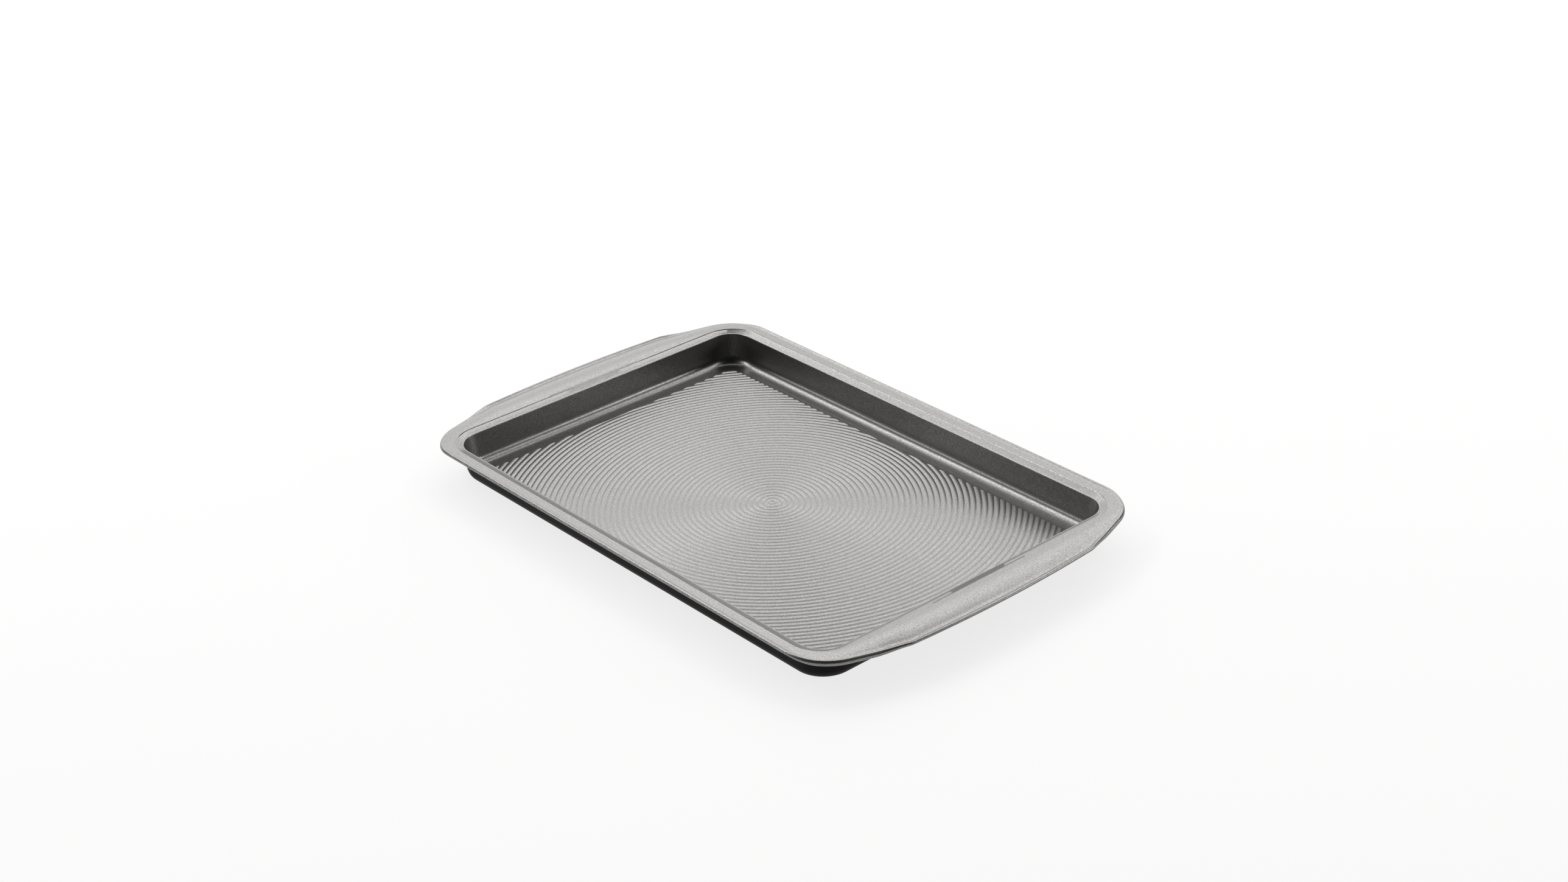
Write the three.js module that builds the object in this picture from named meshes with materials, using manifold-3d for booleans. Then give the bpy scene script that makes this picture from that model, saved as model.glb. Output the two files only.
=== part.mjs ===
// Cookie sheet: a pressed steel pan with a ringed floor, drafted walls, a flange that widens into a handle
// at each end, and an edge rolled round a steel wire. Millimetres, +Z up, +X along the length.
// The origin is the middle of the underside, on the surface that the pan rests on.

import * as THREE from 'three';
import { mergeVertices } from 'three/addons/utils/BufferGeometryUtils.js';
import Module from 'manifold-3d';

// Overall sizes
const LENGTH = 443.4;             // over the two handles
const WIDTH = 287.4;              // over the rolled edges of the long sides
const RIM_HEIGHT = 25.95;         // top of the long-side flange above the resting surface
const SHEET = 0.6;                // thickness of the steel

// Rolled edge
const WIRE_DIAMETER = 0.9;
const WIRE_CLEARANCE = 0.2;       // between the wire and the sheet round it
const CURL_GAP = 0.35;            // between the end of the curl and the underside of the flange
const VALLEY_FILLET = 3.5;        // hollow where the flange meets the rolled edge

// Flange and handles, seen from above
const FLANGE_WIDTH = 8.6;         // crease to the middle of the rolled edge, on the long sides
const HANDLE_DEPTH = 25.4;        // crease to the middle of the rolled edge, at a handle's middle
const HANDLE_SPAN = 159.2;        // between the two bends at a handle's ends
const HANDLE_BOW = 2.85;          // how far a handle's edge bows out over its span
const HANDLE_BEND_RADIUS = 14.0;
const SHOULDER_LEAN = 17.5;       // degrees that a shoulder turns from the short side
const SHOULDER_FADE = 0.6;        // share of the change from handle to plain flange made along the shoulder
const OUTER_CORNER_RADIUS = 34.3;

// Flange and handles, seen in section
const STEP_RISE = 0.5;            // crease up to the flange
const STEP_RUN = 0.5;
const HANDLE_RAMP = 16.0;         // degrees that a handle climbs from the step, before its crown turns down
const CROWN_DROP = 1.5;           // from the flange's level down to a handle's rolled edge

// Wall, channel and floor: insets are measured inwards from the crease
const LAND_RISE = 1.25;           // the land climbs this much from the top of the wall to the crease
const WALL_TOP_INSET = 5.6;
const WALL_TOP_FILLET = 1.1;
const WALL_FOOT_INSET = 6.0;
const CHANNEL_FILLET = 6.3;       // bend from the channel up into the wall
const CHANNEL_WIDTH = 3.0;        // flat bottom of the channel, which the pan rests on
const FIELD_INSET = 20.6;
const FIELD_MARGIN = 0.2;         // plain edge round the rings, at the top of the channel's inner bank

// Corner radii of the inner outlines
const CREASE_CORNER = 25.0;
const WALL_TOP_CORNER = 18.0;
const WALL_FOOT_CORNER = 21.0;
const CHANNEL_CORNER = 17.5;      // at the channel's outer edge
const FIELD_CORNER = 9.0;

// Ring relief of the floor
const RING_PITCH = 4.0;
const RING_RELIEF = 0.36;         // crest above valley
const FIELD_HEIGHT = 1.2;         // middle of the relief above the bottom of the channel
const VALLEY_THICKNESS = 0.3;     // steel left under a valley, above the panel's flat underside
const PLATE_THICKNESS = 0.2;      // plain plate that the rings stand on

// Fineness of the facets, and limits for the meshing
const FILLET_STEPS = 2;
const CHANNEL_STEPS = 4;
const CROWN_STEPS = 4;
const HANDLE_EDGE_STEPS = 3;
const BEND_STEPS = 2;
const SHOULDER_STEPS = 1;
const CORNER_STEPS = 5;
const CURL_STEPS = 7;
const WIRE_SIDES = 8;
const RING_SIDES = 24;
const MITER_LIMIT = 0.5;
const WELD_DISTANCE = 1e-4;

// Values that follow from the sizes above
const BEAD_RADIUS = WIRE_DIAMETER / 2 + WIRE_CLEARANCE + SHEET;
const RIM_HALF_LENGTH = LENGTH / 2 - BEAD_RADIUS - HANDLE_DEPTH;   // of the crease
const RIM_HALF_WIDTH = WIDTH / 2 - BEAD_RADIUS - FLANGE_WIDTH;
const CHANNEL_INSET = WALL_FOOT_INSET + CHANNEL_FILLET + CHANNEL_WIDTH;   // foot of the channel's inner bank
const RING_TOP = SHEET + FIELD_HEIGHT + RING_RELIEF / 2;
const RING_VALLEY = RING_TOP - RING_RELIEF;
const PANEL_BASE = RING_VALLEY - VALLEY_THICKNESS;
const PLATE_TOP = PANEL_BASE + PLATE_THICKNESS;
const CREASE_HEIGHT = RIM_HEIGHT - STEP_RISE;
const WALL_TOP = CREASE_HEIGHT - LAND_RISE;

const coated = new THREE.MeshStandardMaterial({ color: 0x8d8b88, roughness: 0.42, metalness: 0.75 });
const bareSteel = new THREE.MeshStandardMaterial({ color: 0xa9abad, roughness: 0.35, metalness: 1.0 });

const lerp = THREE.MathUtils.lerp;
const smoothstep = THREE.MathUtils.smoothstep;
const at = (x, y) => new THREE.Vector2(x, y);
const heading = (angle) => at(Math.cos(angle), Math.sin(angle));
const polar = (centre, radius, angle) => heading(angle).multiplyScalar(radius).add(centre);

// One quarter of the rim, from the middle of a handle to the middle of a long side. Each step holds a point
// on the rolled edge's middle line, its outward direction, where it falls on the inner outlines (along the
// straight short side, or round the corner) and how much of the handle's crowned section it has.
function quarterRim() {
  const lean = THREE.MathUtils.degToRad(SHOULDER_LEAN);
  const edgeX = RIM_HALF_LENGTH + HANDLE_DEPTH;
  const edgeY = RIM_HALF_WIDTH + FLANGE_WIDTH;
  const bendY = HANDLE_SPAN / 2;
  const bowRadius = (bendY * bendY + HANDLE_BOW * HANDLE_BOW) / (2 * HANDLE_BOW);
  const bowAngle = Math.asin(bendY / bowRadius);
  const bowCentre = at(edgeX - bowRadius, 0);
  const steps = [];
  const add = (point, normal, side, corner, handle) => steps.push({ point, normal, side, corner, handle });

  // The bend takes up part of the bowed edge, so the bow ends where the bend starts
  const bendStart = bowAngle - HANDLE_BEND_RADIUS * Math.tan((lean - bowAngle) / 2) / bowRadius;
  for (let i = 0; i < HANDLE_EDGE_STEPS; i += 1) {
    const angle = bendStart * i / HANDLE_EDGE_STEPS;
    const point = polar(bowCentre, bowRadius, angle);
    add(point, angle, point.y / edgeY, 0, 1);
  }
  const bendCentre = polar(bowCentre, bowRadius - HANDLE_BEND_RADIUS, bendStart);
  let last = null;
  for (let i = 0; i <= BEND_STEPS; i += 1) {
    const angle = lerp(bendStart, lean, i / BEND_STEPS);
    last = polar(bendCentre, HANDLE_BEND_RADIUS, angle);
    add(last, angle, last.y / edgeY, 0, 1);
  }

  // The shoulder runs straight to the corner's arc, whose middle lies one radius inside both lines
  const cornerY = edgeY - OUTER_CORNER_RADIUS;
  const run = (cornerY + OUTER_CORNER_RADIUS * Math.sin(lean) - last.y) / Math.cos(lean);
  const shoulderEnd = at(last.x - run * Math.sin(lean), last.y + run * Math.cos(lean));
  const cornerCentre = polar(shoulderEnd, -OUTER_CORNER_RADIUS, lean);
  const bendSide = last.y / edgeY;
  const fade = (share) => 1 - smoothstep(share, 0, 1);
  for (let i = 1; i < SHOULDER_STEPS; i += 1) {
    const share = i / SHOULDER_STEPS;
    const point = last.clone().lerp(shoulderEnd, share);
    add(point, lean, lerp(bendSide, 1, share), 0, fade(share * SHOULDER_FADE));
  }
  for (let i = 0; i <= CORNER_STEPS; i += 1) {
    const share = i / CORNER_STEPS;
    const angle = lerp(lean, Math.PI / 2, share);
    const point = polar(cornerCentre, OUTER_CORNER_RADIUS, angle);
    add(point, angle, 1, share, fade(lerp(SHOULDER_FADE, 1, share)));
  }
  add(at(0, edgeY), Math.PI / 2, null, 1, 0);
  return steps;
}

// A quarter's point on the rounded rectangle that lies inset inside the crease
function insetPoint(step, inset, corner) {
  const halfLength = RIM_HALF_LENGTH - inset;
  const halfWidth = RIM_HALF_WIDTH - inset;
  if (step.side === null) return at(0, halfWidth);
  if (step.side < 1) return at(halfLength, (halfWidth - corner) * step.side);
  return polar(at(halfLength - corner, halfWidth - corner), corner, step.corner * Math.PI / 2);
}

// Arc that rounds the corner of a section at b, between the points a and c
function fillet(a, b, c, radius, steps) {
  const back = a.clone().sub(b).normalize();
  const ahead = c.clone().sub(b).normalize();
  const half = back.angleTo(ahead) / 2;
  const centre = back.clone().add(ahead).setLength(radius / Math.sin(half)).add(b);
  const first = back.multiplyScalar(radius / Math.tan(half)).add(b).sub(centre);
  const last = ahead.multiplyScalar(radius / Math.tan(half)).add(b).sub(centre);
  const turn = Math.atan2(first.cross(last), first.dot(last));
  const points = [];
  for (let i = 0; i <= steps; i += 1) {
    points.push(polar(centre, radius, first.angle() + turn * i / steps));
  }
  return points;
}

// Section of the sheet's upper face at one step of the rim: u is the distance outwards from the crease and
// z the height. Inside the crease each point carries the corner radius of its outline.
function upperSection(step, reach) {
  const points = [];
  const inner = (flat, corner) => points.push({ u: flat.x, z: flat.y, corner });
  const channel = at(-CHANNEL_INSET, SHEET);
  const foot = at(-WALL_FOOT_INSET, SHEET);
  const top = at(-WALL_TOP_INSET, WALL_TOP);
  const crease = at(0, CREASE_HEIGHT);
  inner(at(FIELD_MARGIN - FIELD_INSET, PLATE_TOP), FIELD_CORNER + FIELD_MARGIN);
  inner(channel, CHANNEL_CORNER - CHANNEL_WIDTH);
  for (const point of fillet(channel, foot, top, CHANNEL_FILLET, CHANNEL_STEPS)) {
    inner(point, lerp(WALL_FOOT_CORNER, CHANNEL_CORNER, (foot.x - point.x) / CHANNEL_FILLET));
  }
  for (const point of fillet(foot, top, crease, WALL_TOP_FILLET, FILLET_STEPS)) {
    inner(point, WALL_TOP_CORNER + point.x - top.x);
  }
  inner(crease, CREASE_CORNER);

  // Step, then the flange or a handle's crown, which climbs at the ramp's angle and falls to the edge
  const beadZ = beadHeight(step);
  const middleHeight = SHEET / 2 + VALLEY_FILLET;
  const valleyRun = Math.sqrt((BEAD_RADIUS + VALLEY_FILLET) ** 2 - middleHeight ** 2);
  const flangeEnd = at(reach - valleyRun, beadZ + SHEET / 2);
  const outer = (u, z) => points.push({ u, z });
  outer(STEP_RUN, RIM_HEIGHT);
  const ramp = THREE.MathUtils.degToRad(HANDLE_RAMP * step.handle);
  const climb = Math.tan(ramp) * (Math.min(reach, HANDLE_DEPTH) - valleyRun - STEP_RUN);
  const fall = RIM_HEIGHT + climb - flangeEnd.y;
  for (let i = 1; i <= CROWN_STEPS; i += 1) {
    const share = i / CROWN_STEPS;
    outer(lerp(STEP_RUN, flangeEnd.x, share), RIM_HEIGHT + climb * share - fall * share * share);
  }

  // Hollow of the valley, then the curl: over the top, down the outside and back under the flange
  const curlStart = Math.atan2(middleHeight, -valleyRun);
  const hollowAngle = (curlStart - Math.PI - Math.PI / 2) / 2;
  const hollow = polar(at(reach - valleyRun, beadZ + middleHeight), VALLEY_FILLET, hollowAngle);
  outer(hollow.x, hollow.y);
  const curlEnd = -Math.PI + Math.asin((SHEET / 2 + CURL_GAP) / BEAD_RADIUS);
  for (let i = 0; i <= CURL_STEPS; i += 1) {
    const point = polar(at(reach, beadZ), BEAD_RADIUS, lerp(curlStart, curlEnd, i / CURL_STEPS));
    outer(point.x, point.y);
  }
  return points;
}

// Height of the rolled edge's middle line: the handles' ends hang a little lower than the long sides
function beadHeight(step) {
  return RIM_HEIGHT - SHEET / 2 - CROWN_DROP * step.handle;
}

// The lower face: the upper one moved down by the sheet's thickness, with mitred corners
function lowerSection(upper) {
  return upper.map((point, i) => {
    const before = upper[Math.max(i - 1, 0)];
    const after = upper[Math.min(i + 1, upper.length - 1)];
    const into = at(point.u - before.u, point.z - before.z).normalize();
    const out = at(after.u - point.u, after.z - point.z).normalize();
    if (i === 0) into.set(1, 0);
    if (i === upper.length - 1) out.copy(into);
    const bisector = into.clone().add(out).normalize();
    const miter = SHEET / Math.max(bisector.dot(into), MITER_LIMIT);
    const lower = { u: point.u + bisector.y * miter, z: point.z - bisector.x * miter };
    if (point.corner !== undefined) lower.corner = point.corner + lower.u - point.u;
    return lower;
  });
}

// Repeats one quarter's points round the whole rim, anticlockwise from the middle of the +X handle
function wholeLoop(quarter) {
  const last = quarter.length - 1;
  const loop = [...quarter];
  for (let i = last - 1; i >= 0; i -= 1) loop.push(mirrored(quarter[i], -1, 1));
  for (let i = 1; i <= last; i += 1) loop.push(mirrored(quarter[i], -1, -1));
  for (let i = last - 1; i > 0; i -= 1) loop.push(mirrored(quarter[i], 1, -1));
  return loop;
}

const mirrored = (point, sx, sy) => new THREE.Vector3(point.x * sx, point.y * sy, point.z);

// Joins a list of closed loops into a surface. With caps, the first and last loop are closed by fans.
function skin(loops, caps) {
  const size = loops[0].length;
  const positions = loops.flat().flatMap((p) => [p.x, p.y, p.z]);
  const index = [];
  const rows = caps ? loops.length - 1 : loops.length;
  for (let row = 0; row < rows; row += 1) {
    const a = row * size;
    const b = ((row + 1) % loops.length) * size;
    for (let i = 0; i < size; i += 1) {
      const j = (i + 1) % size;
      index.push(a + i, b + i, b + j, a + i, b + j, a + j);
    }
  }
  if (caps) {
    const first = positions.length / 3;
    const lastRow = (loops.length - 1) * size;
    positions.push(0, 0, loops[0][0].z, 0, 0, loops[loops.length - 1][0].z);
    for (let i = 0; i < size; i += 1) {
      const j = (i + 1) % size;
      index.push(first, i, j, first + 1, lastRow + j, lastRow + i);
    }
  }
  const geometry = new THREE.BufferGeometry();
  geometry.setAttribute('position', new THREE.Float32BufferAttribute(positions, 3));
  geometry.setIndex(index);
  return geometry;
}

// Places a section's points over the ground: inside the crease on the inner outlines, outside it along the
// line from the crease to the rolled edge
function placed(step, section, creasePoint, direction) {
  return section.map((point) => {
    const onInside = point.corner !== undefined;
    const flat = onInside
      ? insetPoint(step, -point.u, point.corner)
      : creasePoint.clone().addScaledVector(direction, point.u);
    return new THREE.Vector3(flat.x, flat.y, point.z);
  });
}

function sheetGeometry(rim) {
  const columns = rim.map((step) => {
    const creasePoint = insetPoint(step, 0, CREASE_CORNER);
    const direction = step.point.clone().sub(creasePoint);
    const reach = direction.length();
    direction.normalize();
    const upper = upperSection(step, reach);
    const lower = lowerSection(upper);
    lower[0].z = PANEL_BASE;
    return placed(step, [...upper, ...lower.reverse()], creasePoint, direction);
  });
  const loops = columns[0].map((_, row) => wholeLoop(columns.map((column) => column[row])));
  return skin(loops, true);
}

function wireGeometry(rim) {
  const loops = [];
  for (let side = 0; side < WIRE_SIDES; side += 1) {
    const turn = -2 * Math.PI * side / WIRE_SIDES;
    const quarter = rim.map((step) => {
      const reach = WIRE_DIAMETER / 2 * Math.cos(turn);
      const flat = polar(step.point, reach, step.normal);
      return new THREE.Vector3(flat.x, flat.y, beadHeight(step) + WIRE_DIAMETER / 2 * Math.sin(turn));
    });
    loops.push(wholeLoop(quarter));
  }
  return skin(loops, false);
}

// The floor's rings: a disc with a ridge every pitch, a crest at its middle, wide enough to reach the
// corners of the field
function ringGeometry() {
  const reach = Math.hypot(RIM_HALF_LENGTH, RIM_HALF_WIDTH) - FIELD_INSET;
  const count = Math.ceil(reach / RING_PITCH) + 1;
  const base = PANEL_BASE + PLATE_THICKNESS / 2;
  const profile = [at(0, base), at(count * RING_PITCH, base)];
  for (let half = count * 2; half >= 0; half -= 1) {
    profile.push(at(half * RING_PITCH / 2, half % 2 === 0 ? RING_TOP : RING_VALLEY));
  }
  return new THREE.LatheGeometry(profile, RING_SIDES).rotateX(Math.PI / 2);
}

// Outline of the field that the rings fill, where they are cut off square
function fieldGeometry(rim) {
  const quarter = rim.map((step) => insetPoint(step, FIELD_INSET, FIELD_CORNER));
  const outline = wholeLoop(quarter).map((p) => at(p.x, p.y));
  return new THREE.ExtrudeGeometry(new THREE.Shape(outline), { depth: RING_TOP * 2, bevelEnabled: false });
}

const wasm = await Module();
wasm.setup();

function toSolid(geometry) {
  geometry.deleteAttribute('normal');
  geometry.deleteAttribute('uv');
  const merged = mergeVertices(geometry, WELD_DISTANCE);
  const corners = merged.index.array;
  const triangles = [];
  for (let i = 0; i < corners.length; i += 3) {
    const [a, b, c] = [corners[i], corners[i + 1], corners[i + 2]];
    if (a !== b && b !== c && c !== a) triangles.push(a, b, c);
  }
  return new wasm.Manifold(new wasm.Mesh({
    numProp: 3,
    vertProperties: new Float32Array(merged.attributes.position.array),
    triVerts: new Uint32Array(triangles),
  }));
}

function toGeometry(solid) {
  const mesh = solid.getMesh();
  const geometry = new THREE.BufferGeometry();
  geometry.setAttribute('position', new THREE.BufferAttribute(mesh.vertProperties, 3));
  geometry.setIndex(new THREE.BufferAttribute(mesh.triVerts, 1));
  geometry.computeVertexNormals();
  return geometry;
}

function panShell(rim) {
  const rings = toSolid(ringGeometry()).intersect(toSolid(fieldGeometry(rim)));
  const mesh = new THREE.Mesh(toGeometry(toSolid(sheetGeometry(rim)).add(rings)), coated);
  mesh.name = 'pan_shell';
  return mesh;
}

function rimWire(rim) {
  const geometry = wireGeometry(rim);
  geometry.computeVertexNormals();
  const mesh = new THREE.Mesh(geometry, bareSteel);
  mesh.name = 'rim_wire';
  return mesh;
}

const rim = quarterRim();
const cookieSheet = new THREE.Group();
cookieSheet.name = 'cookie_sheet';
cookieSheet.add(panShell(rim), rimWire(rim));

export default cookieSheet;
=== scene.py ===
"""Cookie sheet: the looks of a pressed steel pan, laid out as an add-on and run as a script.

Lengths in the property groups are in metres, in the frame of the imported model: +X along the pan from
handle to handle, +Z up, the origin in the middle of the underside.
"""

import math

import bmesh
import bpy
from bpy.props import FloatProperty, FloatVectorProperty, IntProperty, PointerProperty
from mathutils import Matrix, Vector


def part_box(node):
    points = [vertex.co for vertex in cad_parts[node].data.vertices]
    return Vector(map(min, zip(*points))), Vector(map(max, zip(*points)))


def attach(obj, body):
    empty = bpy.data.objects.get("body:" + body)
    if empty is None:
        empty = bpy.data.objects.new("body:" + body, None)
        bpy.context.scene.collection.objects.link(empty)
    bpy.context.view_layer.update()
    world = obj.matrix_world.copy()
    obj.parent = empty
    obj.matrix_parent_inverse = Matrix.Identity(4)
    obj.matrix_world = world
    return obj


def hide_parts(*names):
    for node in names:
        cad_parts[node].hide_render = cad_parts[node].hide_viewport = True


bl_info = {
    "name": "Cookie Sheet",
    "version": (1, 0, 0),
    "blender": (4, 5, 0),
    "location": "View3D > Sidebar > Cookie Sheet",
    "description": "Models and finishes a pressed steel cookie sheet with a ringed floor and rolled edge",
    "category": "Object",
}

MM = 0.001
MITRE_LIMIT = 0.5
VALLEY_GATHER = 1.4
SMOOTH_ANGLE = math.radians(34)
MERGE_DISTANCE = 0.002 * MM

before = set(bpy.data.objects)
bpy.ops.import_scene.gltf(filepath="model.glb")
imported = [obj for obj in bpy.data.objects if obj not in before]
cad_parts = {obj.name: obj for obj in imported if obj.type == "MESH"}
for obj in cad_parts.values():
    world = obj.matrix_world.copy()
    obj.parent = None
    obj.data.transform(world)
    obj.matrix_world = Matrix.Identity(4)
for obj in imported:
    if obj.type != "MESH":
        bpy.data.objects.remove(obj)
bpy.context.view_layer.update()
PAN_LOW, PAN_HIGH = (Vector(corner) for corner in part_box("pan_shell"))
WIRE_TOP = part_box("rim_wire")[1][2]


def linear(code):
    """Linear colour from an sRGB hex code."""
    channels = [int(code[i:i + 2], 16) / 255 for i in (0, 2, 4)]
    return [c / 12.92 if c <= 0.04045 else ((c + 0.055) / 1.055) ** 2.4 for c in channels]


def length(name, description, size):
    """A length property whose default is given in millimetres."""
    return FloatProperty(name=name, description=description, default=size * MM, unit="LENGTH", precision=5)


def slope(name, description, degrees):
    """An angle property whose default is given in degrees."""
    return FloatProperty(name=name, description=description, default=math.radians(degrees), subtype="ANGLE")


def factor(name, description, share):
    """A property for a share of something."""
    return FloatProperty(name=name, description=description, default=share, subtype="FACTOR")


def number(name, description, segments):
    """A property for a number of segments."""
    return IntProperty(name=name, description=description, default=segments)


def paint(name, description, code):
    """A colour property whose default is given as an sRGB hex code."""
    return FloatVectorProperty(name=name, description=description, default=linear(code), subtype="COLOR")


class RimSizes(bpy.types.PropertyGroup):
    """Flange, handles and rolled edge."""

    sheet: length("Sheet", "Thickness of the pressed steel", 0.6)
    bead_radius: length("Bead radius", "Outside radius of the rolled edge", 1.25)
    corner_bead_radius: length("Corner bead radius", "Fuller radius of the rolled edge in a corner", 2.0)
    corner_bead_rise: length("Corner bead rise", "Lower rise of the rolled edge in a corner", 0.1)
    wire_radius: length("Wire radius", "Radius of the wire that the edge is rolled round", 0.45)
    curl_gap: length("Curl gap", "Between the end of the curl and the underside of the flange", 0.35)
    valley_fillet: length("Valley fillet", "Hollow where the flange meets the rolled edge", 3.5)
    flange_width: length("Flange width", "Crease to the middle of the rolled edge on a long side", 8.6)
    handle_depth: length("Handle depth", "Crease to the middle of the rolled edge at a handle", 25.4)
    handle_span: length("Handle span", "Between the two bends at a handle's ends", 159.2)
    handle_bow: length("Handle bow", "How far a handle's edge bows out over its span", 2.85)
    handle_bend: length("Handle bend", "Radius of the bend at each end of a handle", 14.0)
    shoulder_lean: slope("Shoulder lean", "Turn of a shoulder from the short side", 17.5)
    shoulder_fade: factor("Shoulder fade", "Share of the fade to plain flange that a shoulder takes", 0.6)
    bead_fade: factor("Bead fade", "Share of a corner after which its fuller bead fades", 0.5)
    outer_corner: length("Outer corner", "Radius of the rolled edge at the pan's corners", 34.3)
    step_rise: length("Step rise", "From the crease up to the flange", 0.5)
    step_run: length("Step run", "Width of that step", 0.5)
    handle_ramp: slope("Handle ramp", "Climb of a handle from the step, before its crown turns down", 15.2)
    # Painted shade: this lower share of the rolled edge takes the near-black coat, which stands in for the
    # shade under the rim.
    painted_shade_wrap: factor("Coat wrap", "Share of the rolled edge that carries the lower face's coat", 0.3)
    crown_drop: length("Crown drop", "From the flange's level down to a handle's rolled edge", 1.5)


class WellSizes(bpy.types.PropertyGroup):
    """Wall, channel and ringed floor. Insets are measured inwards from the crease."""

    land_rise: length("Land rise", "From the top of the wall up to the crease", 1.25)
    land_step_inset: length("Land step inset", "Where the land's fine step lies", 4.3)
    land_step_rise: length("Land step rise", "Height of that step", 0.25)
    land_step_run: length("Land step run", "Width of that step", 0.3)
    wall_top_inset: length("Wall top inset", "Top of the wall", 5.6)
    wall_top_fillet: length("Wall top fillet", "Bend at the top of the wall", 0.7)
    wall_foot_inset: length("Wall foot inset", "Foot of the wall", 6.0)
    channel_fillet: length("Channel fillet", "Bend from the channel up into the wall", 6.3)
    channel_width: length("Channel width", "Flat bottom of the channel, which the pan rests on", 3.0)
    bank_fillet: length("Bank fillet", "Bend at the foot of the channel's inner bank", 8.0)
    field_inset: length("Field inset", "Edge of the ringed field", 20.6)
    field_height: length("Field height", "Middle of the rings above the bottom of the channel", 1.2)
    crease_corner: length("Crease corner", "Corner radius of the crease", 25.0)
    wall_top_corner: length("Wall top corner", "Corner radius at the top of the wall", 18.0)
    wall_foot_corner: length("Wall foot corner", "Corner radius at the foot of the wall", 21.0)
    channel_corner: length("Channel corner", "Corner radius at the channel's outer edge", 17.5)
    field_corner: length("Field corner", "Corner radius of the ringed field", 9.0)
    ring_pitch: length("Ring pitch", "From crest to crest", 4.0)
    ring_relief: length("Ring relief", "Crest above valley", 0.5)
    valley_softness: FloatProperty(
        name="Valley softness",
        description="Small for broad crests and narrow valleys, large for even waves",
        default=0.03)
    panel_sheet: length("Panel sheet", "Thickness of the stretched sheet in the rings", 0.3)
    sill_height: length("Sill height", "Top of the channel's bank above the rings' valleys", 0.1)
    field_overlap: length("Field overlap", "Of the bank with the rings that it closes off", 0.3)


class Fineness(bpy.types.PropertyGroup):
    """Number of segments."""

    handle_edge: number("Handle edge", "Segments on half a handle's edge", 14)
    bend: number("Bend", "Segments in a handle's bend", 6)
    shoulder: number("Shoulder", "Segments along a shoulder", 8)
    corner: number("Corner", "Segments round a corner", 22)
    channel: number("Channel", "Segments in the bend up into the wall", 12)
    fillet: number("Fillet", "Segments in a bend of the section", 6)
    small_fillet: number("Small fillet", "Segments in a fine bend", 3)
    hollow: number("Hollow", "Segments in the hollow by the rolled edge", 5)
    crown: number("Crown", "Segments across the flange or a handle's crown", 10)
    curl: number("Curl", "Segments round the rolled edge", 16)
    wire: number("Wire", "Segments round the wire", 8)
    ring_top: number("Ring top", "Segments across a ring, upper face", 10)
    ring_under: number("Ring underside", "Segments across a ring, lower face", 4)
    ring_turn: number("Ring turn", "Segments round a ring", 128)


class Finish(bpy.types.PropertyGroup):
    """Colours and surface of the coating, the wire and the floor."""

    coating: paint("Coating", "Body colour of the non-stick coating", "727170")
    fleck: paint("Fleck", "Colour of the metal fleck in the coating", "8b8a88")
    # Painted shade: near-black colour on the lower face, where the pan's underside lies in deep shade.
    painted_shade_colour: paint("Outer coat", "Colour of the lower face's coat", "0b0c0b")
    wire: paint("Wire", "Bare drawn steel", "b0b0ae")
    floor: paint("Floor", "Pale floor under the pan", "f4f4f3")
    floor_lift: factor("Floor lift", "How far the seen floor is lifted towards white", 0.8)
    fleck_size: length("Fleck size", "Spacing of the fleck", 0.9)
    wire_grain: length("Wire grain", "Spacing of the wire's grain", 0.8)


# Modelling helpers


def deselect_all():
    """Leaves nothing selected, in object mode."""
    bpy.ops.object.select_all(action="DESELECT")


def name_new_piece(name):
    """Names the object that an operator has just added, and its mesh."""
    piece = bpy.context.active_object
    piece.name = name
    piece.data.name = name
    return piece


def lerp(a, b, share):
    return a + (b - a) * share


def ease_out(share):
    """Falls smoothly from 1 to 0 while the share grows from 0 to 1, and is level beyond."""
    share = min(max(share, 0.0), 1.0)
    return 1 - share * share * (3 - 2 * share)


def polar(centre, radius, angle):
    return Vector((centre[0] + radius * math.cos(angle), centre[1] + radius * math.sin(angle)))


def fillet(before, corner, after, radius, segments):
    """Arc that rounds the corner of a section."""
    back = (before - corner).normalized()
    ahead = (after - corner).normalized()
    half = back.angle(ahead) / 2
    centre = corner + (back + ahead).normalized() * (radius / math.sin(half))
    first = corner + back * (radius / math.tan(half)) - centre
    last = corner + ahead * (radius / math.tan(half)) - centre
    start = math.atan2(first.y, first.x)
    turn = math.atan2(first.x * last.y - first.y * last.x, first.dot(last))
    return [polar(centre, radius, start + turn * i / segments) for i in range(segments + 1)]


def offset_below(points, distance):
    """The section's points moved to the lower face of the sheet, with mitred corners."""
    moved = []
    for i, point in enumerate(points):
        into = (point - points[max(i - 1, 0)]).normalized()
        out = (points[min(i + 1, len(points) - 1)] - point).normalized()
        if i == 0:
            into = out
        if i == len(points) - 1:
            out = into
        bisector = (into + out).normalized()
        reach = distance / max(bisector.dot(into), MITRE_LIMIT)
        moved.append(Vector((point.x + bisector.y * reach, point.y - bisector.x * reach)))
    return moved


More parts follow.
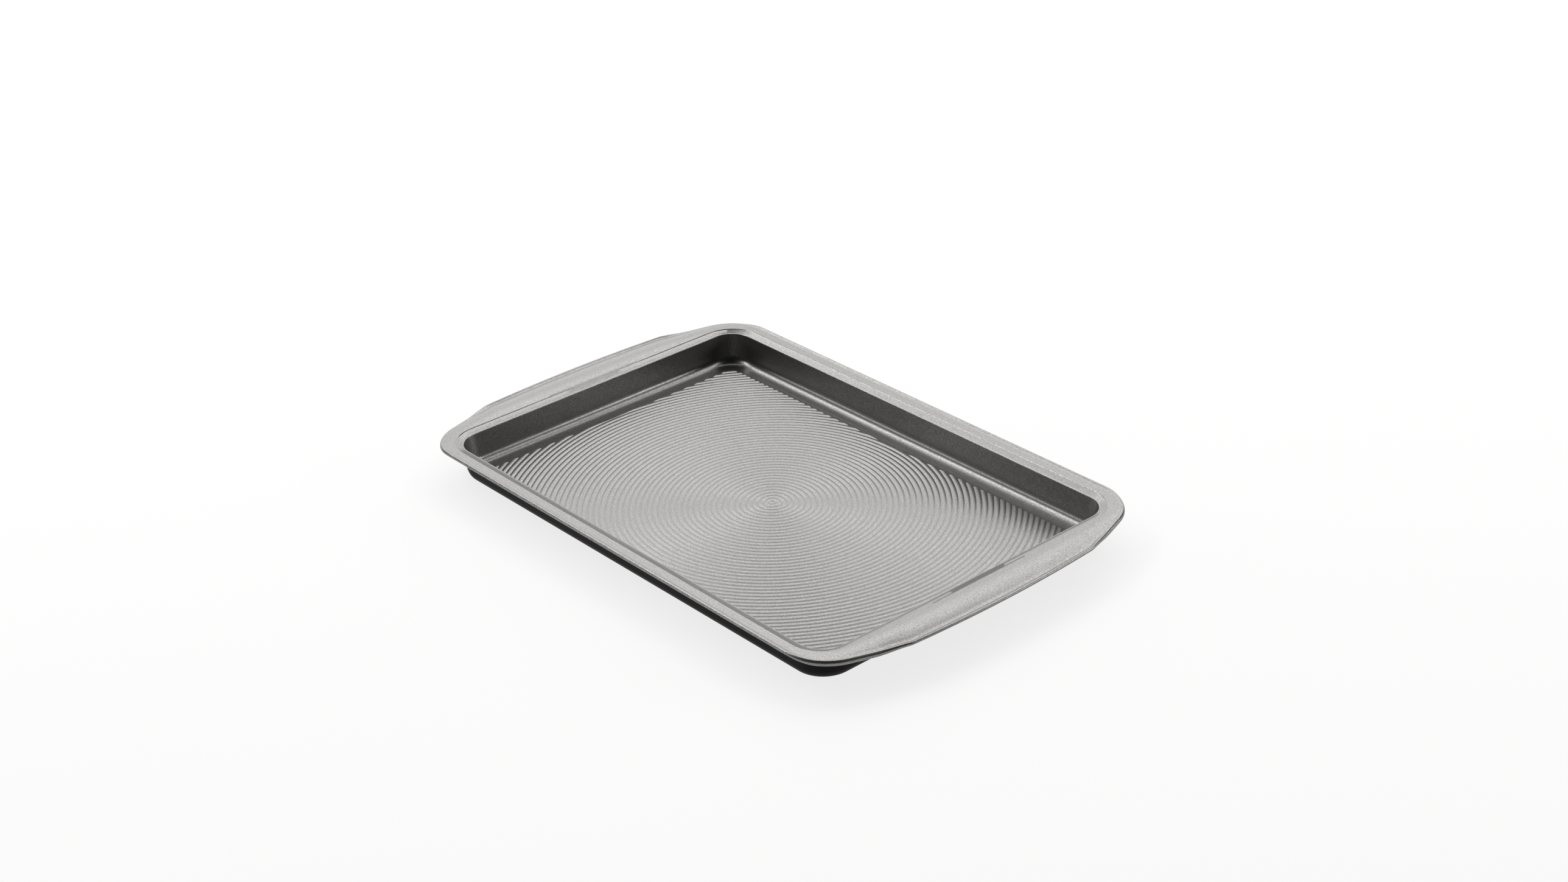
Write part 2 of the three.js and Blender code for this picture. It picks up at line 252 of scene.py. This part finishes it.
class PanShape:
    """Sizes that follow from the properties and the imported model's box."""

    def __init__(self, scene):
        self.rim = scene.pan_rim
        self.well = scene.pan_well
        self.fine = scene.pan_fineness
        rim, well = self.rim, self.well
        self.edge_x = PAN_HIGH.x - rim.bead_radius
        self.edge_y = PAN_HIGH.y - rim.bead_radius
        self.crease_x = self.edge_x - rim.handle_depth
        self.crease_y = self.edge_y - rim.flange_width
        self.bead_rise = rim.bead_radius - rim.sheet / 2
        self.flange_z = WIRE_TOP - rim.wire_radius + rim.sheet / 2
        self.crease_z = self.flange_z - rim.step_rise
        self.wall_top_z = self.crease_z - well.land_rise
        self.channel_z = PAN_LOW.z + rim.sheet
        self.channel_inset = well.wall_foot_inset + well.channel_fillet + well.channel_width
        self.valley_z = self.channel_z + well.field_height - well.ring_relief / 2
        self.bank_z = self.valley_z + well.sill_height

    def corner_radius(self, inset):
        """Corner radius of the inner outline at an inset from the crease."""
        well = self.well
        stops = [
            (0.0, well.crease_corner), (well.wall_top_inset, well.wall_top_corner),
            (well.wall_foot_inset, well.wall_foot_corner),
            (self.channel_inset - well.channel_width, well.channel_corner),
            (self.channel_inset, well.channel_corner - well.channel_width),
            (well.field_inset, well.field_corner)]
        for (near, near_radius), (far, far_radius) in zip(stops, stops[1:]):
            if inset <= far:
                return lerp(near_radius, far_radius, max(inset - near, 0.0) / (far - near))
        return well.field_corner

    def quarter_rim(self):
        """Steps along a quarter of the rim, from the middle of a handle to the middle of a long side.

        Each step is (point on the rolled edge's middle line, place along the short side, place round
        the corner, share of the handle's section, share of the corner's fuller bead). A place of None
        stands for the middle of the long side.
        """
        rim, fine = self.rim, self.fine
        lean = rim.shoulder_lean
        bend_y = rim.handle_span / 2
        bow_radius = (bend_y ** 2 + rim.handle_bow ** 2) / (2 * rim.handle_bow)
        bow_angle = math.asin(bend_y / bow_radius)
        bow_centre = (self.edge_x - bow_radius, 0.0)
        bend_start = bow_angle - rim.handle_bend * math.tan((lean - bow_angle) / 2) / bow_radius
        steps = []
        for i in range(fine.handle_edge):
            point = polar(bow_centre, bow_radius, bend_start * i / fine.handle_edge)
            steps.append((point, point.y / self.edge_y, 0.0, 1.0, 0.0))
        bend_centre = polar(bow_centre, bow_radius - rim.handle_bend, bend_start)
        for i in range(fine.bend + 1):
            point = polar(bend_centre, rim.handle_bend, lerp(bend_start, lean, i / fine.bend))
            steps.append((point, point.y / self.edge_y, 0.0, 1.0, 0.0))

        bend_end = steps[-1][0]
        corner_y = self.edge_y - rim.outer_corner
        run = (corner_y + rim.outer_corner * math.sin(lean) - bend_end.y) / math.cos(lean)
        shoulder_end = bend_end + Vector((-math.sin(lean), math.cos(lean))) * run
        corner_centre = polar(shoulder_end, -rim.outer_corner, lean)
        for i in range(1, fine.shoulder):
            share = i / fine.shoulder
            side = lerp(bend_end.y / self.edge_y, 1.0, share)
            point = bend_end.lerp(shoulder_end, share)
            handle = ease_out(share * rim.shoulder_fade)
            steps.append((point, side, 0.0, handle, 1 - ease_out(share / rim.shoulder_fade)))
        for i in range(fine.corner + 1):
            share = i / fine.corner
            point = polar(corner_centre, rim.outer_corner, lerp(lean, math.pi / 2, share))
            handle = ease_out(lerp(rim.shoulder_fade, 1.0, share))
            full = ease_out((share - rim.bead_fade) / (1 - rim.bead_fade))
            steps.append((point, 1.0, share, handle, full))
        steps.append((Vector((0.0, self.edge_y)), None, 1.0, 0.0, 0.0))
        return steps

    def inner_point(self, side, corner, inset, radius):
        """A quarter's point on the rounded outline at an inset from the crease."""
        half_x = self.crease_x - inset
        half_y = self.crease_y - inset
        if side is None:
            return Vector((0.0, half_y))
        if side < 1:
            return Vector((half_x, (half_y - radius) * side))
        return polar((half_x - radius, half_y - radius), radius, corner * math.pi / 2)

    def well_section(self):
        """Upper face from the ringed field to the crease, as (distance outwards, height)."""
        well, fine = self.well, self.fine
        toe = Vector((-well.field_inset - well.field_overlap, self.bank_z))
        sill = Vector((-well.field_inset, self.bank_z))
        channel = Vector((-self.channel_inset, self.channel_z))
        foot = Vector((-well.wall_foot_inset, self.channel_z))
        top = Vector((-well.wall_top_inset, self.wall_top_z))
        crease = Vector((0.0, self.crease_z))
        land = (crease - top).normalized()
        step_low = top + land * ((well.wall_top_inset - well.land_step_inset) / land.x)
        step_low.y -= well.land_step_rise / 2
        step_high = step_low + Vector((well.land_step_run, well.land_step_rise))
        section = [toe, sill]
        section += fillet(sill, channel, foot, well.bank_fillet, fine.small_fillet)
        section += fillet(channel, foot, top, well.channel_fillet, fine.channel)
        section += fillet(foot, top, step_low, well.wall_top_fillet, fine.fillet)
        section += [step_low, step_high, crease]
        return section

    def bead(self, reach, handle, full):
        """Middle, radius and rise of the rolled edge in a section."""
        rim = self.rim
        radius = lerp(rim.bead_radius, rim.corner_bead_radius, full)
        rise = lerp(self.bead_rise, rim.corner_bead_rise, full)
        height = self.flange_z - rim.crown_drop * handle + rise - radius
        return Vector((reach + rim.bead_radius - radius, height)), radius, rise

    def rim_section(self, reach, handle, full):
        """Upper face from the crease to the end of the curl."""
        rim, fine = self.rim, self.fine
        middle, radius, rise = self.bead(reach, handle, full)
        edge_z = middle.y + radius - rise
        hollow = rim.valley_fillet + radius - rise
        valley_run = math.sqrt((radius + rim.valley_fillet) ** 2 - hollow ** 2)
        start = Vector((rim.step_run, self.flange_z))
        end = Vector((middle.x - valley_run, edge_z))
        climb = math.tan(rim.handle_ramp * handle) * (min(end.x, rim.handle_depth - valley_run) - start.x)
        section = [start]
        for i in range(1, fine.crown + 1):
            share = i / fine.crown
            height = start.y + climb * share - (start.y + climb - end.y) * share * share
            section.append(Vector((lerp(start.x, end.x, share), height)))
        curl_start = math.atan2(hollow, -valley_run)
        for i in range(1, fine.hollow):
            angle = lerp(-math.pi / 2, curl_start - math.pi, i / fine.hollow)
            section.append(polar((end.x, edge_z + rim.valley_fillet), rim.valley_fillet, angle))
        curl_end = -math.pi + math.asin((rise + rim.sheet + rim.curl_gap - radius) / radius)
        for i in range(fine.curl + 1):
            section.append(polar(middle, radius, lerp(curl_start, curl_end, i / fine.curl)))
        return section

    def ring_height(self, radius):
        """Height of the rings' upper face, with a crest at the centre."""
        soft = self.well.valley_softness
        wave = math.hypot(math.cos(math.pi * radius / self.well.ring_pitch), soft) - soft
        return self.valley_z + self.well.ring_relief * wave / (math.hypot(1, soft) - soft)

    def ring_radii(self, count, segments):
        """Radii across a number of rings, closer together towards each valley."""
        radii = []
        for i in range(count * segments + 1):
            ring, part = divmod(i, segments)
            from_valley = 2 * part / segments - 1
            phase = 0.5 + 0.5 * math.copysign(abs(from_valley) ** VALLEY_GATHER, from_valley)
            radii.append((ring + phase) * self.well.ring_pitch)
        return radii

    def sheet_columns(self):
        """For each step of the quarter rim, the closed section's points: upper face, then lower face."""
        well = self.well_section()
        columns = []
        for point, side, corner, handle, full in self.quarter_rim():
            crease = self.inner_point(side, corner, 0.0, self.well.crease_corner)
            outward = (point - crease).normalized()
            upper = well + self.rim_section((point - crease).length, handle, full)
            lower = offset_below(upper, self.rim.sheet)
            column = []
            for i, face in enumerate([upper, lower]):
                row = []
                for above, place in zip(upper, face):
                    if above.x <= 0:
                        radius = self.corner_radius(-above.x) + place.x - above.x
                        flat = self.inner_point(side, corner, -place.x, radius)
                    else:
                        flat = crease + outward * place.x
                    row.append((flat.x, flat.y, place.y))
                column += row if i == 0 else row[::-1]
            columns.append(column)
        return columns

    def wire_columns(self):
        """For each step of the quarter rim, the points round the wire, in the middle of the rolled edge."""
        columns = []
        for point, side, corner, handle, full in self.quarter_rim():
            crease = self.inner_point(side, corner, 0.0, self.well.crease_corner)
            outward = (point - crease).normalized()
            middle = self.bead((point - crease).length, handle, full)[0]
            column = []
            for i in range(self.fine.wire):
                place = polar(middle, self.rim.wire_radius, -math.tau * i / self.fine.wire)
                flat = crease + outward * place.x
                column.append((flat.x, flat.y, place.y))
            columns.append(column)
        return columns


def whole_loop(quarter):
    """A quarter's points repeated round the whole rim by mirroring, without its shared ends."""
    def mirrored(points, sx, sy):
        return [Vector((x * sx, y * sy, z)) for x, y, z in points]

    return (mirrored(quarter, 1, 1) + mirrored(quarter[-2::-1], -1, 1)
            + mirrored(quarter[1:], -1, -1) + mirrored(quarter[-2:0:-1], 1, -1))


def place_selected(piece, places, row):
    """Moves the points of the selected loop to their places and notes which row of the section they are."""
    mesh = bmesh.from_edit_mesh(piece.data)
    steps = mesh.verts.layers.int["step"]
    rows = mesh.verts.layers.int["row"]
    for vert in mesh.verts:
        if vert.select:
            vert.co = places[vert[steps]]
            vert[rows] = row
    bmesh.update_edit_mesh(piece.data)


def combine(piece, tool, operation):
    """Joins a solid to a piece, or trims the piece to it, and removes that solid."""
    deselect_all()
    piece.select_set(True)
    bpy.context.view_layer.objects.active = piece
    modifier = piece.modifiers.new(tool.name, "BOOLEAN")
    modifier.operation = operation
    modifier.solver = "MANIFOLD"
    modifier.object = tool
    bpy.ops.object.modifier_apply(modifier=modifier.name)
    bpy.data.objects.remove(tool)


def draw_out(name, columns, painted_shade_row):
    """Draws a closed section out round the rim, row by row, and closes the last row on the first.

    From the given row on, the faces take the second material, which on the sheet is the near-black coat of
    painted shade under the rim.
    """
    loops = [whole_loop([column[row] for column in columns]) for row in range(len(columns[0]))]
    deselect_all()
    bpy.ops.mesh.primitive_circle_add(vertices=len(loops[0]), radius=PAN_HIGH.x)
    piece = name_new_piece(name)
    bpy.ops.object.mode_set(mode="EDIT")
    mesh = bmesh.from_edit_mesh(piece.data)
    steps = mesh.verts.layers.int.new("step")
    mesh.verts.layers.int.new("row")
    for i, vert in enumerate(mesh.verts):
        vert[steps] = i
    bmesh.update_edit_mesh(piece.data)
    bpy.ops.mesh.select_all(action="SELECT")
    place_selected(piece, loops[0], 0)
    for row, places in enumerate(loops[1:], start=1):
        bpy.ops.mesh.extrude_region()
        place_selected(piece, places, row)

    bpy.ops.mesh.select_all(action="DESELECT")
    mesh = bmesh.from_edit_mesh(piece.data)
    for edge in mesh.edges:
        if edge.is_boundary:
            edge.select_set(True)
    bmesh.update_edit_mesh(piece.data)
    bpy.ops.mesh.bridge_edge_loops()
    mesh = bmesh.from_edit_mesh(piece.data)
    rows = mesh.verts.layers.int["row"]
    for face in mesh.faces:
        face.material_index = int(max(vert[rows] for vert in face.verts) >= painted_shade_row)
    bmesh.update_edit_mesh(piece.data)
    bpy.ops.mesh.select_all(action="SELECT")
    bpy.ops.mesh.normals_make_consistent(inside=False)
    bpy.ops.object.mode_set(mode="OBJECT")
    for layer in ("step", "row"):
        piece.data.attributes.remove(piece.data.attributes[layer])
    return piece


class PAN_OT_press_sheet(bpy.types.Operator):
    """Draws the sheet out from the ringed field over wall, flange and handles into the rolled edge"""

    bl_idname = "pan.press_sheet"
    bl_label = "Press the Sheet"

    def execute(self, context):
        finish = context.scene.pan_finish
        shape = PanShape(context.scene)
        columns = shape.sheet_columns()
        # Painted shade: from this row on, the lower face and the lower part of the rolled edge take the
        # near-black coat.
        painted_shade_row = len(columns[0]) // 2 - round(shape.fine.curl * shape.rim.painted_shade_wrap)
        piece = draw_out("pan_body", columns, painted_shade_row)
        piece.data.materials.append(coating_material(finish))
        piece.data.materials.append(painted_shade_coat_material(finish))
        return {"FINISHED"}


class PAN_OT_spin_rings(bpy.types.Operator):
    """Spins the floor's rings from their section, trims them to the field and joins them to the sheet"""

    bl_idname = "pan.spin_rings"
    bl_label = "Spin the Ringed Floor"

    def execute(self, context):
        shape = PanShape(context.scene)
        rings = self.ring_disc(shape)
        combine(rings, self.field_block(shape), "INTERSECT")
        piece = bpy.data.objects["pan_body"]
        combine(piece, rings, "UNION")
        bpy.ops.object.shade_smooth_by_angle(angle=SMOOTH_ANGLE)
        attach(piece, "root")
        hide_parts("pan_shell")
        return {"FINISHED"}

    def ring_disc(self, shape):
        """A disc of rings that reaches beyond the field's corners."""
        well, fine = shape.well, shape.fine
        reach = math.hypot(shape.crease_x - well.field_inset, shape.crease_y - well.field_inset)
        count = math.ceil(reach / well.ring_pitch)
        section = []
        for radius in shape.ring_radii(count, fine.ring_top):
            section.append((radius, 0.0, shape.ring_height(radius)))
        for radius in reversed(shape.ring_radii(count, fine.ring_under)):
            section.append((radius, 0.0, shape.ring_height(radius) - well.panel_sheet))

        deselect_all()
        bpy.ops.mesh.primitive_grid_add(x_subdivisions=len(section) - 1, y_subdivisions=1, size=1.0)
        rings = name_new_piece("ringed_floor")
        for coat in bpy.data.objects["pan_body"].data.materials:
            rings.data.materials.append(coat)
        bpy.ops.object.mode_set(mode="EDIT")
        mesh = bmesh.from_edit_mesh(rings.data)
        for vert in mesh.verts:
            vert.select = vert.co.y > 0
        mesh.select_flush_mode()
        bmesh.update_edit_mesh(rings.data)
        bpy.ops.mesh.delete(type="VERT")
        mesh = bmesh.from_edit_mesh(rings.data)
        for vert, place in zip(sorted(mesh.verts, key=lambda v: v.co.x), section):
            vert.co = place
        bmesh.update_edit_mesh(rings.data)
        bpy.ops.mesh.select_all(action="SELECT")
        bpy.ops.mesh.spin(steps=fine.ring_turn, angle=math.tau, center=(0, 0, 0), axis=(0, 0, 1))
        bpy.ops.mesh.select_all(action="SELECT")
        bpy.ops.mesh.remove_doubles(threshold=MERGE_DISTANCE)
        bpy.ops.mesh.normals_make_consistent(inside=False)
        mesh = bmesh.from_edit_mesh(rings.data)
        for face in mesh.faces:
            # Painted shade: faces that look down take the near-black coat.
            face.material_index = int(face.normal.z < 0)
        bmesh.update_edit_mesh(rings.data)
        bpy.ops.object.mode_set(mode="OBJECT")
        return rings

    def field_block(self, shape):
        """A block with the outline of the ringed field, deeper than the rings."""
        well = shape.well
        quarter = []
        for _, side, corner, _, _ in shape.quarter_rim():
            flat = shape.inner_point(side, corner, well.field_inset, well.field_corner)
            quarter.append((flat.x, flat.y, PAN_LOW.z))
        outline = whole_loop(quarter)
        deselect_all()
        bpy.ops.mesh.primitive_circle_add(vertices=len(outline), fill_type="NGON")
        block = name_new_piece("field_block")
        block.data.materials.append(bpy.data.objects["pan_body"].data.materials[0])
        for vert, place in zip(block.data.vertices, outline):
            vert.co = place
        bpy.ops.object.mode_set(mode="EDIT")
        bpy.ops.mesh.select_all(action="SELECT")
        height = 2 * (shape.valley_z + well.ring_relief)
        bpy.ops.mesh.extrude_region_move(TRANSFORM_OT_translate={"value": (0, 0, height)})
        bpy.ops.mesh.select_all(action="SELECT")
        bpy.ops.mesh.normals_make_consistent(inside=False)
        bpy.ops.object.mode_set(mode="OBJECT")
        return block


class PAN_OT_draw_wire(bpy.types.Operator):
    """Draws the steel wire round the rim, inside the rolled edge"""

    bl_idname = "pan.draw_wire"
    bl_label = "Draw the Wire"

    def execute(self, context):
        columns = PanShape(context.scene).wire_columns()
        wire = draw_out("rim_wire_loop", columns, len(columns[0]))
        wire.data.materials.append(drawn_steel_material(context.scene.pan_finish))
        bpy.ops.object.shade_smooth()
        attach(wire, "root")
        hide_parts("rim_wire")
        return {"FINISHED"}


# Materials


def add_node(tree, kind, settings=None, inputs=None):
    """Adds a node. An input is a value, or a socket that is linked to it."""
    node = tree.nodes.new(kind)
    for name, value in (settings or {}).items():
        setattr(node, name, value)
    for name, value in (inputs or {}).items():
        if isinstance(value, bpy.types.NodeSocket):
            tree.links.new(value, node.inputs[name])
        else:
            node.inputs[name].default_value = value
    return node


def new_material(name):
    """An empty material, its node tree and its Principled shader."""
    material = bpy.data.materials.new(name)
    material.use_nodes = True
    return material, material.node_tree, material.node_tree.nodes["Principled BSDF"]


def coating_material(finish):
    """Sprayed non-stick coating with metal fleck: a satin grey that mirrors large lights softly."""
    material, tree, shader = new_material("sprayed_nonstick_coating")
    place = add_node(tree, "ShaderNodeTexCoord").outputs["Object"]
    fleck = add_node(tree, "ShaderNodeTexNoise", inputs={
        "Vector": place, "Scale": 1 / finish.fleck_size, "Detail": 2.0, "Roughness": 0.6})
    shade = add_node(tree, "ShaderNodeMapRange", inputs={
        "Value": fleck.outputs["Fac"], "From Min": 0.35, "From Max": 0.65})
    # Sockets 6 and 7 of a mix of colours are its two colours.
    colour = add_node(tree, "ShaderNodeMix", {"data_type": "RGBA"}, {
        "Factor": shade.outputs["Result"], 6: (*finish.coating, 1), 7: (*finish.fleck, 1)})
    rough = add_node(tree, "ShaderNodeMapRange", inputs={
        "Value": fleck.outputs["Fac"], "From Min": 0.3, "From Max": 0.7, "To Min": 0.35, "To Max": 0.27})
    bump = add_node(tree, "ShaderNodeBump", inputs={
        "Height": fleck.outputs["Fac"], "Strength": 0.12, "Distance": 0.05 * MM})
    shader.inputs["Metallic"].default_value = 0.85
    tree.links.new(colour.outputs[2], shader.inputs["Base Color"])
    tree.links.new(rough.outputs["Result"], shader.inputs["Roughness"])
    tree.links.new(bump.outputs["Normal"], shader.inputs["Normal"])
    return material


def painted_shade_coat_material(finish):
    """Near-black, dull coat that paints the deep shade under the rim onto the lower face and the lower part
    of the rolled edge, so the pan's body sits back under the pale rim.
    """
    material, tree, shader = new_material("painted_shade_lower_coat")
    place = add_node(tree, "ShaderNodeTexCoord").outputs["Object"]
    grain = add_node(tree, "ShaderNodeTexNoise", inputs={
        "Vector": place, "Scale": 1 / finish.fleck_size, "Detail": 2.0})
    rough = add_node(tree, "ShaderNodeMapRange", inputs={
        "Value": grain.outputs["Fac"], "To Min": 0.42, "To Max": 0.5})
    shader.inputs["Base Color"].default_value = (*finish.painted_shade_colour, 1)
    # Painted shade: the low specular level keeps reflections of the pale floor off the lower face.
    shader.inputs["Specular IOR Level"].default_value = 0.08
    tree.links.new(rough.outputs["Result"], shader.inputs["Roughness"])
    return material


def drawn_steel_material(finish):
    """Bare drawn wire: bright, with a soft grain in place of drawing lines too fine to show."""
    material, tree, shader = new_material("drawn_steel_wire")
    place = add_node(tree, "ShaderNodeTexCoord").outputs["Object"]
    grain = add_node(tree, "ShaderNodeTexNoise", inputs={
        "Vector": place, "Scale": 1 / finish.wire_grain, "Detail": 2.0})
    rough = add_node(tree, "ShaderNodeMapRange", inputs={
        "Value": grain.outputs["Fac"], "To Min": 0.28, "To Max": 0.4})
    shader.inputs["Base Color"].default_value = (*finish.wire, 1)
    shader.inputs["Metallic"].default_value = 1.0
    tree.links.new(rough.outputs["Result"], shader.inputs["Roughness"])
    return material


def floor_material(finish):
    """Pale paper sweep: matt, and lifted towards white where it is seen, with the shadow left in."""
    material, tree, shader = new_material("pale_paper_floor")
    shader.inputs["Base Color"].default_value = (*finish.floor, 1)
    shader.inputs["Roughness"].default_value = 0.9
    shader.inputs["Specular IOR Level"].default_value = 0.1
    path = add_node(tree, "ShaderNodeLightPath").outputs
    seen = add_node(tree, "ShaderNodeMath", {"operation": "MAXIMUM"}, {
        0: path["Is Camera Ray"], 1: path["Is Glossy Ray"]})
    shown = add_node(tree, "ShaderNodeMath", {"operation": "MAXIMUM"}, {
        0: seen.outputs[0], 1: path["Is Transmission Ray"]})
    share = add_node(tree, "ShaderNodeMath", {"operation": "MULTIPLY"}, {
        0: shown.outputs[0], 1: finish.floor_lift})
    white = add_node(tree, "ShaderNodeEmission", inputs={"Strength": 1.0})
    mix = add_node(tree, "ShaderNodeMixShader", inputs={
        "Fac": share.outputs[0], 1: shader.outputs["BSDF"], 2: white.outputs["Emission"]})
    tree.links.new(mix.outputs["Shader"], tree.nodes["Material Output"].inputs["Surface"])
    return material


# Stage

LAMP_DISTANCE = 2.2
CAMERA_AZIMUTH = 49.196
CAMERA_ELEVATION = 28.037
CAMERA_ROLL = -1.829
CAMERA_DISTANCE = 1.78934
CAMERA_AIM = (-0.06143, 0.06486, 0.00135)
CAMERA_LENS = 57.825
CAMERA_SENSOR = 36.0
FLOOR_SIZE = 12.0
CAMERA_REACH = 100
WORLD_LEVEL = 0.02


def heading(azimuth, elevation):
    """Unit vector from the pan towards a direction. Azimuth 0 is -Y and 90 is +X, in degrees."""
    a, e = math.radians(azimuth), math.radians(elevation)
    return Vector((math.sin(a) * math.cos(e), -math.cos(a) * math.cos(e), math.sin(e)))


def aimed(back, roll=0.0):
    """Rotation of a lamp or camera that looks against a direction, turned about it."""
    right = Vector((0, 0, 1)).cross(back).normalized()
    up = back.cross(right)
    turned = right * math.cos(roll) + up * math.sin(roll)
    return Matrix((turned, back.cross(turned), back)).transposed().to_4x4()


def softbox(name, azimuth, low, high, spread, radiance):
    """An area lamp that fills a part of the sky seen from the pan.

    Its middle azimuth from the camera's, its lowest and highest elevation and its spread are in degrees.
    The radiance is what it shows there.
    """
    elevation = (low + high) / 2
    lamp = bpy.data.lights.new(name, "AREA")
    lamp.shape = "RECTANGLE"
    lamp.size = 2 * LAMP_DISTANCE * math.cos(math.radians(elevation)) * math.tan(math.radians(spread / 2))
    lamp.size_y = 2 * LAMP_DISTANCE * math.tan(math.radians((high - low) / 2))
    lamp.energy = radiance * math.pi * lamp.size * lamp.size_y
    piece = bpy.data.objects.new(name, lamp)
    back = heading(CAMERA_AZIMUTH + azimuth, elevation)
    piece.matrix_world = Matrix.Translation(back * LAMP_DISTANCE) @ aimed(back)
    bpy.context.collection.objects.link(piece)


class PAN_OT_set_stage(bpy.types.Operator):
    """Sets the pale floor, the soft light behind the pan and the camera"""

    bl_idname = "pan.set_stage"
    bl_label = "Set the Stage"

    def execute(self, context):
        scene = context.scene
        deselect_all()
        bpy.ops.mesh.primitive_plane_add(size=FLOOR_SIZE, location=(0, 0, 0))
        floor = name_new_piece("floor")
        floor.data.materials.append(floor_material(scene.pan_finish))

        softbox("back_low", azimuth=180, low=1, high=33, spread=90, radiance=1.8)
        softbox("back_high", azimuth=180, low=33, high=57, spread=90, radiance=3.0)
        softbox("back_top", azimuth=180, low=57, high=75, spread=90, radiance=2.4)
        softbox("left_high", azimuth=255, low=43, high=57, spread=60, radiance=6.0)
        softbox("right_high", azimuth=105, low=43, high=57, spread=60, radiance=3.0)
        softbox("right_low", azimuth=90, low=8, high=20, spread=30, radiance=8.0)
        softbox("left_low", azimuth=270, low=8, high=20, spread=30, radiance=3.0)

        world = bpy.data.worlds.new("studio")
        world.use_nodes = True
        sky = world.node_tree.nodes["Background"]
        sky.inputs["Color"].default_value = (WORLD_LEVEL, WORLD_LEVEL, WORLD_LEVEL, 1)
        scene.world = world

        lens = bpy.data.cameras.new("camera")
        lens.sensor_fit = "HORIZONTAL"
        lens.sensor_width = CAMERA_SENSOR
        lens.lens = CAMERA_LENS
        lens.clip_end = CAMERA_REACH
        camera = bpy.data.objects.new("camera", lens)
        back = heading(CAMERA_AZIMUTH, CAMERA_ELEVATION)
        place = Matrix.Translation(Vector(CAMERA_AIM) + back * CAMERA_DISTANCE)
        camera.matrix_world = place @ aimed(back, math.radians(CAMERA_ROLL))
        context.collection.objects.link(camera)
        scene.camera = camera
        scene.view_settings.view_transform = "Standard"
        return {"FINISHED"}


class PAN_PT_sidebar(bpy.types.Panel):
    """Lists the steps in the 3D view's sidebar"""

    bl_label = "Cookie Sheet"
    bl_idname = "PAN_PT_sidebar"
    bl_space_type = "VIEW_3D"
    bl_region_type = "UI"
    bl_category = "Cookie Sheet"

    def draw(self, context):
        for operator in OPERATORS:
            self.layout.operator(operator.bl_idname)


OPERATORS = (PAN_OT_set_stage, PAN_OT_press_sheet, PAN_OT_spin_rings, PAN_OT_draw_wire)
GROUPS = {"pan_rim": RimSizes, "pan_well": WellSizes, "pan_fineness": Fineness, "pan_finish": Finish}
CLASSES = (*GROUPS.values(), *OPERATORS, PAN_PT_sidebar)


def register():
    for cls in CLASSES:
        bpy.utils.register_class(cls)
    for name, group in GROUPS.items():
        setattr(bpy.types.Scene, name, PointerProperty(type=group))


def unregister():
    for name in GROUPS:
        delattr(bpy.types.Scene, name)
    for cls in reversed(CLASSES):
        bpy.utils.unregister_class(cls)


def main():
    register()
    bpy.ops.pan.set_stage()
    bpy.ops.pan.press_sheet()
    bpy.ops.pan.spin_rings()
    bpy.ops.pan.draw_wire()


if __name__ == "__main__":
    main()
